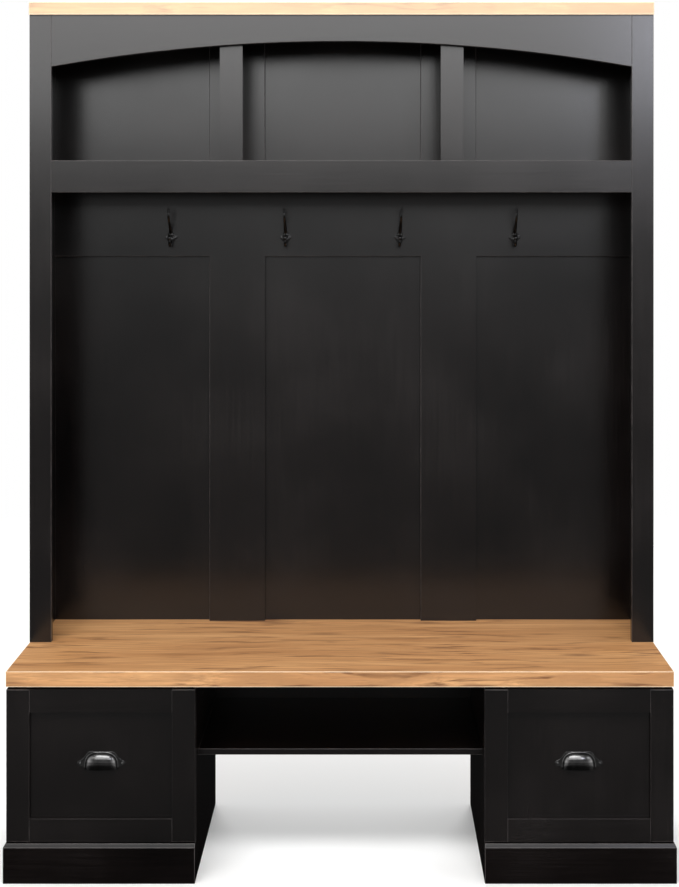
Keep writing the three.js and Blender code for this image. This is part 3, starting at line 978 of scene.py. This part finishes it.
def brads_along(bm, start, end):
    """Brad heads from the start up to, but not on, the end, where the next side begins."""
    start, end = Vector(start), Vector(end)
    count = max(2, round((end - start).length / BRAD_PITCH) + 1)
    facing = Vector(BACKWARDS).to_track_quat("Z", "Y").to_matrix().to_4x4()
    for i in range(count - 1):
        at = start.lerp(end, i / (count - 1))
        rings = []
        for height, share in BRAD_PROFILE:
            points = []
            for k in range(BRAD_SIDES):
                angle = 2 * math.pi * k / BRAD_SIDES
                local = Vector((math.cos(angle) * share, math.sin(angle) * share, 0)) * BRAD_R
                local.z = height * MM
                points.append(Matrix.Translation(at) @ facing @ local)
            rings.append(points)
        ring_shell(bm, rings)


def make_back_brads():
    """Brad heads round the thin backs, seen from behind."""
    for node in ("hutch_back_panel", *(f"{side}_cabinet_back" for side in SIDES)):
        low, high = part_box(node)
        top = high.z - BRAD_EDGE
        if node == "hutch_back_panel":
            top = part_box("hanging_cleat")[0].z - BRAD_EDGE
        bm = bmesh.new()
        y = high.y
        corners = [
            (low.x + BRAD_EDGE, y, low.z + BRAD_EDGE),
            (high.x - BRAD_EDGE, y, low.z + BRAD_EDGE),
            (high.x - BRAD_EDGE, y, top),
            (low.x + BRAD_EDGE, y, top),
        ]
        for a, b in zip(corners, corners[1:] + corners[:1]):
            brads_along(bm, a, b)
        new_piece(f"{node}_brads", bm, STEEL, "carcass")


def make_cleat_screws():
    low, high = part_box("hanging_cleat")
    bm = bmesh.new()
    for share in CLEAT_SCREWS:
        at = Vector((low.x + (high.x - low.x) * share, high.y, (low.z + high.z) / 2))
        at -= Vector((0, CLEAT_SCREW_SUNK, 0))
        screw_head(bm, at, CLEAT_SCREW_R, BACKWARDS, turn=share * 9, height=0.12)
    new_piece("cleat_screws", bm, STEEL, "carcass")


# ---- stage ----
FLOOR_NEAR, FLOOR_FAR = 1.5, 4.5  # where its fade begins, and half its width
FLOOR_GONE = 0.95  # where the fade ends, as a share of that half width


def make_floor():
    mesh = bpy.data.meshes.new("floor")
    corners = [(FLOOR_FAR * x, FLOOR_FAR * y, 0) for x, y in ((-1, -1), (1, -1), (1, 1), (-1, 1))]
    mesh.from_pydata(corners, [], [(0, 1, 2, 3)])
    floor = bpy.data.objects.new("floor", mesh)
    bpy.context.scene.collection.objects.link(floor)
    shader = Shader("pale_floor", roughness=0.7, specular=0.1)
    cloud = shader.noise(shader.place, 0.8, 3.0)
    shader.colour(shader.ramp(cloud, (0.3, (0.93, 0.93, 0.925)), (0.7, (0.95, 0.95, 0.945))))
    reach = shader.node("ShaderNodeVectorMath", {0: shader.place}, operation="LENGTH")
    fade = shader.remap(reach.outputs["Value"], FLOOR_NEAR, FLOOR_FAR * FLOOR_GONE)
    clear = shader.node("ShaderNodeBsdfTransparent").outputs["BSDF"]
    blend = shader.mix_shaders(fade, shader.surface.outputs["BSDF"], clear)
    shader.feed(shader.tree.nodes["Material Output"].inputs["Surface"], blend)
    mesh.materials.append(shader.material)
    floor.visible_glossy = False


# What gloss sees of the room, by the sine of the angle it looks up at, before the softboxes.
ROOM_GLOSS = (
    (-1.00, 0.03),
    (-0.42, 0.04),
    (-0.37, 0.12),
    (-0.33, 0.21),
    (-0.28, 0.34),
    (-0.23, 0.15),
    (-0.15, 0.15),
    (-0.05, 0.27),
    (0.05, 0.68),
    (0.18, 0.45),
    (1.00, 0.55),
)
# How much brighter it is straight to the left and right, which lights the upright arrises, and
# how much of it is left behind the hall tree. The ranges are of the direction's X and Y.
ROOM_SIDES, SIDES_RANGE = 6.0, (0.45, 0.95)
ROOM_BEHIND, BEHIND_RANGE = 0.05, (-0.35, 0.45)
ROOM_GLOW = 0.56  # what matt surfaces get, evenly from all round


def make_world():
    """A white backdrop for the camera, an even glow for matt surfaces, a darker room for gloss."""
    world = bpy.data.worlds.new("studio")
    bpy.context.scene.world = world
    world.use_nodes = True
    world.cycles.sampling_method = "NONE"
    world.node_tree.nodes.clear()
    sky = NodeTree(world.node_tree)

    def background(colour, strength=1.0):
        inputs = {"Color": colour, "Strength": strength}
        return sky.node("ShaderNodeBackground", inputs).outputs["Background"]

    path = sky.node("ShaderNodeLightPath")
    direction = sky.node("ShaderNodeTexCoord").outputs["Generated"]
    split = sky.node("ShaderNodeSeparateXYZ", {"Vector": direction})
    x, y, z = (split.outputs[axis] for axis in "XYZ")

    stops = [(sine * 0.5 + 0.5, (level,) * 3) for sine, level in ROOM_GLOSS]
    graded = sky.ramp(sky.math("MULTIPLY_ADD", z, 0.5, 0.5), *stops)
    behind = sky.remap(y, *BEHIND_RANGE, 1.0, ROOM_BEHIND, curve="SMOOTHSTEP")
    across = sky.math("ABSOLUTE", x)
    sides = sky.remap(across, *SIDES_RANGE, 1.0, ROOM_SIDES, curve="SMOOTHSTEP")
    gloss = background(graded, sky.math("MULTIPLY", behind, sides))
    glow = background(rgba((ROOM_GLOW,) * 3))
    seen = background(rgba(WHITE))

    lit = sky.mix_shaders(path.outputs["Is Diffuse Ray"], gloss, glow)
    shown = sky.mix_shaders(path.outputs["Is Camera Ray"], lit, seen)
    sky.node("ShaderNodeOutputWorld", {"Surface": shown})


def softbox(name, at, target, size, radiance, colour=WHITE, matt=True, gloss=True):
    """An area light that looks equally bright from anywhere in front of it.

    Radiance is what a mirror would show. Matt and gloss say which surfaces see the light.
    """
    light = bpy.data.lights.new(name, "AREA")
    light.shape = "RECTANGLE"
    light.size, light.size_y = size
    light.energy = radiance * math.pi * size[0] * size[1]
    light.color = colour
    holder = bpy.data.objects.new(name, light)
    holder.location = at
    holder.rotation_euler = (Vector(target) - Vector(at)).to_track_quat("-Z", "Y").to_euler()
    holder.visible_camera = False
    holder.visible_diffuse = matt
    holder.visible_glossy = gloss
    bpy.context.scene.collection.objects.link(holder)


SOFTBOXES = {
    "front_box": {
        "at": (-0.3, -2.8, 2.64),
        "target": (-0.1, 0.0, 1.3),
        "size": (3.5, 1.7),
        "radiance": 4.15,
        "matt": False,
    },
    "corner_box": {
        "at": (1.45, -2.75, 2.35),
        "target": (0.9, 0.0, 1.8),
        "size": (0.5, 0.8),
        "radiance": 12.0,
        "colour": (0.93, 0.95, 1.1),
        "matt": False,
    },
    "top_box": {
        "at": (-0.3, -1.9, 3.4),
        "target": (0.0, 0.0, 1.0),
        "size": (2.8, 1.3),
        "radiance": 10.0,
    },
    "left_box": {
        "at": (-2.6, -2.2, 2.7),
        "target": (0.0, 0.0, 0.6),
        "size": (1.1, 1.2),
        "radiance": 1.9,
        "colour": (1.04, 1.0, 0.94),
    },
    "right_box": {
        "at": (2.9, -1.8, 2.4),
        "target": (0.0, 0.0, 0.6),
        "size": (1.1, 1.2),
        "radiance": 3.6,
        "colour": (0.97, 0.99, 1.03),
    },
    "back_box": {
        "at": (0.0, 4.4, 2.8),
        "target": (0.0, 0.0, 1.0),
        "size": (4.0, 2.0),
        "radiance": 9.5,
        "gloss": False,
    },
}

CAMERA_X, CAMERA_HEIGHT = 0.0535, 1.386
CAMERA_DISTANCE = 3.264  # in front of the foremost edge
CAMERA_LENS, CAMERA_SENSOR = 81.4, 36.0
CAMERA_SHIFT = (-0.0376, -0.3115)


def make_camera():
    """Looks level, from a little to the right. Its shift frames it, so uprights stay upright."""
    camera = bpy.data.cameras.new("camera")
    camera.sensor_fit = "HORIZONTAL"
    camera.sensor_width = CAMERA_SENSOR
    camera.lens = CAMERA_LENS
    camera.shift_x, camera.shift_y = CAMERA_SHIFT
    holder = bpy.data.objects.new("camera", camera)
    holder.location = (CAMERA_X, CAD_BOX[0].y - CAMERA_DISTANCE, CAMERA_HEIGHT)
    holder.rotation_euler = (math.radians(90), 0.0, 0.0)
    bpy.context.scene.collection.objects.link(holder)
    bpy.context.scene.camera = holder


make_camera()
dress_boards()
make_hooks()
make_pulls()
make_slide_balls()
make_slide_screws()
make_back_brads()
make_cleat_screws()
make_floor()
make_world()
for box_name, settings in SOFTBOXES.items():
    softbox(box_name, **settings)
bpy.context.scene.view_settings.view_transform = "Standard"
